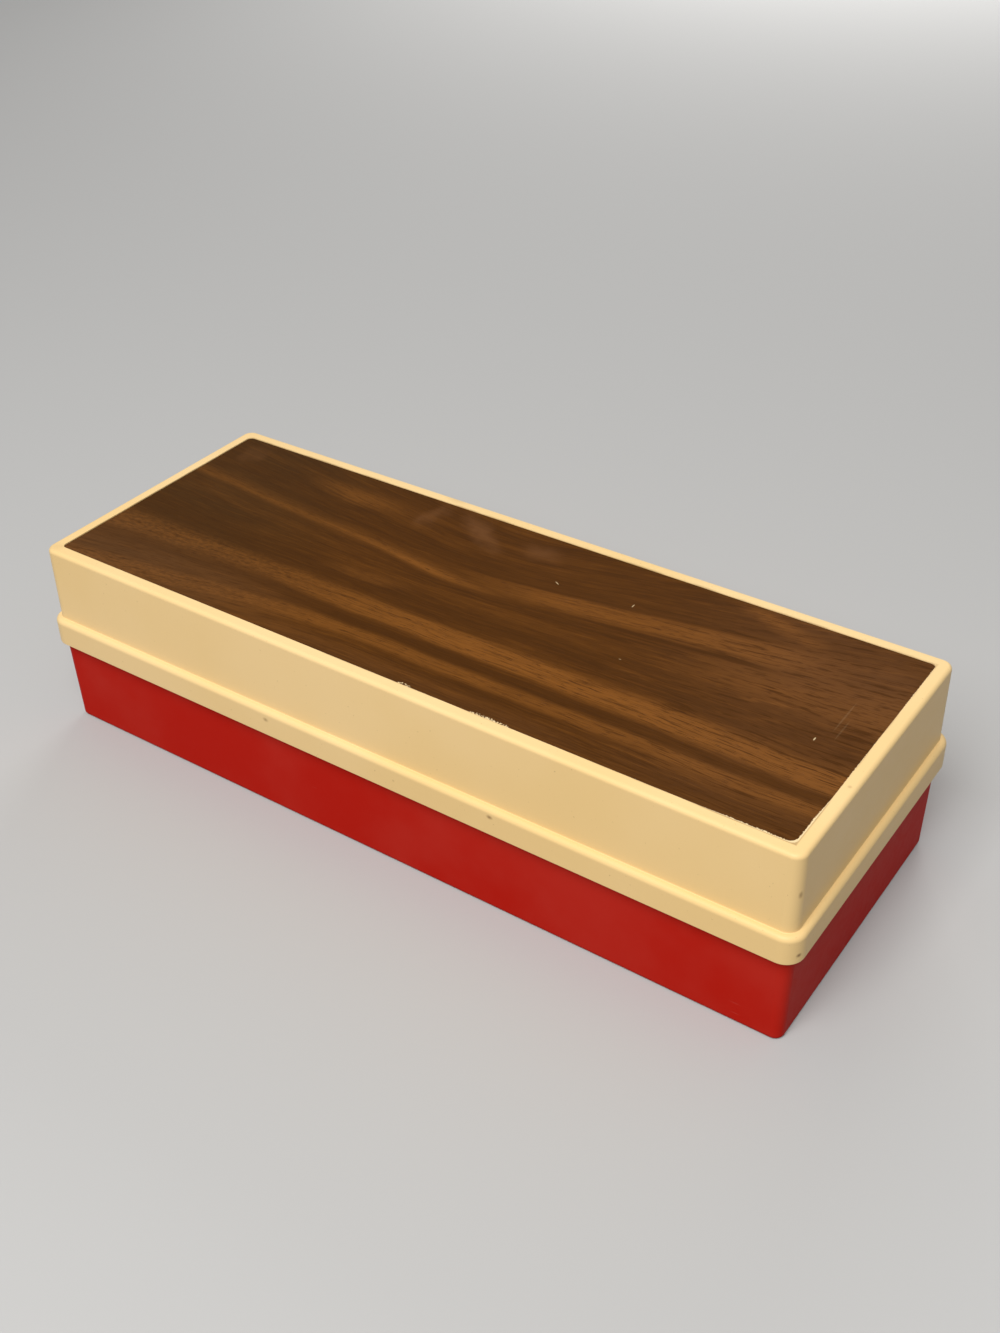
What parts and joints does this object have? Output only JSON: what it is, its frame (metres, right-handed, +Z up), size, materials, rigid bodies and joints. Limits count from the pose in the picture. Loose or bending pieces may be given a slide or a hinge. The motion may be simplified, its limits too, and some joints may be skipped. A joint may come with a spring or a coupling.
{
  "type": "fleet guessing game case",
  "caption": "Long two-colour game case: a tapered base tub under a lift-off lid with a lapping skirt and woodgrain top, holding peg boards, peg trays, pegs and small ships.",
  "frame": {"origin": "middle of the case's footprint, on the surface that the closed case stands on", "axes": "+X along the case, +Y towards its back long side, +Z up"},
  "size_m": [0.366, 0.1386, 0.0895],
  "materials": {
    "red_plastic": "satin moulded polystyrene",
    "ivory_plastic": "satin moulded polystyrene, yellowed",
    "woodgrain_laminate": "satin walnut-pattern laminate",
    "ship_grey_plastic": "satin moulded plastic",
    "red_peg_plastic": "moulded polyethylene",
    "white_peg_plastic": "moulded polyethylene",
    "screw_steel": "zinc plated"
  },
  "bodies": {
    "base": {"base_tub": "red_plastic", "base_posts": "red_plastic", "base_ocean_board": "red_plastic", "base_target_board": "red_plastic", "base_peg_tray": "red_plastic", "base_board_screws": "screw_steel"},
    "lid": {"lid_shell": "ivory_plastic", "woodgrain_panel": "woodgrain_laminate", "lid_posts": "ivory_plastic", "lid_ocean_board": "ivory_plastic", "lid_target_board": "ivory_plastic", "lid_peg_tray": "ivory_plastic", "lid_board_screws": "screw_steel"},
    "hit_pegs": {"hit_pegs": "red_peg_plastic"},
    "miss_pegs": {"miss_pegs": "white_peg_plastic"},
    "home_carrier": {"home_carrier": "ship_grey_plastic"},
    "home_battleship": {"home_battleship": "ship_grey_plastic"},
    "home_cruiser": {"home_cruiser": "ship_grey_plastic"},
    "home_submarine": {"home_submarine": "ship_grey_plastic"},
    "home_destroyer": {"home_destroyer": "ship_grey_plastic"},
    "away_carrier": {"away_carrier": "ship_grey_plastic"},
    "away_battleship": {"away_battleship": "ship_grey_plastic"},
    "away_cruiser": {"away_cruiser": "ship_grey_plastic"},
    "away_submarine": {"away_submarine": "ship_grey_plastic"},
    "away_destroyer": {"away_destroyer": "ship_grey_plastic"}
  },
  "joints": [
    {"name": "lid_lift", "type": "slide", "parent": "base", "child": "lid", "axis": [0, 0, 1], "range_m": [0, 0.15]},
    {"name": "hit_pegs_lift", "type": "slide", "parent": "base", "child": "hit_pegs", "axis": [0, 0, 1], "range_m": [0, 0.02]},
    {"name": "miss_pegs_lift", "type": "slide", "parent": "base", "child": "miss_pegs", "axis": [0, 0, 1], "range_m": [0, 0.02]},
    {"name": "home_carrier_lift", "type": "slide", "parent": "base", "child": "home_carrier", "axis": [0, 0, 1], "range_m": [0, 0.012]},
    {"name": "home_battleship_lift", "type": "slide", "parent": "base", "child": "home_battleship", "axis": [0, 0, 1], "range_m": [0, 0.012]},
    {"name": "home_cruiser_lift", "type": "slide", "parent": "base", "child": "home_cruiser", "axis": [0, 0, 1], "range_m": [0, 0.012]},
    {"name": "home_submarine_lift", "type": "slide", "parent": "base", "child": "home_submarine", "axis": [0, 0, 1], "range_m": [0, 0.012]},
    {"name": "home_destroyer_lift", "type": "slide", "parent": "base", "child": "home_destroyer", "axis": [0, 0, 1], "range_m": [0, 0.012]},
    {"name": "away_carrier_lift", "type": "slide", "parent": "base", "child": "away_carrier", "axis": [0, 0, 1], "range_m": [0, 0.012]},
    {"name": "away_battleship_lift", "type": "slide", "parent": "base", "child": "away_battleship", "axis": [0, 0, 1], "range_m": [0, 0.012]},
    {"name": "away_cruiser_lift", "type": "slide", "parent": "base", "child": "away_cruiser", "axis": [0, 0, 1], "range_m": [0, 0.012]},
    {"name": "away_submarine_lift", "type": "slide", "parent": "base", "child": "away_submarine", "axis": [0, 0, 1], "range_m": [0, 0.012]},
    {"name": "away_destroyer_lift", "type": "slide", "parent": "base", "child": "away_destroyer", "axis": [0, 0, 1], "range_m": [0, 0.012]}
  ]
}
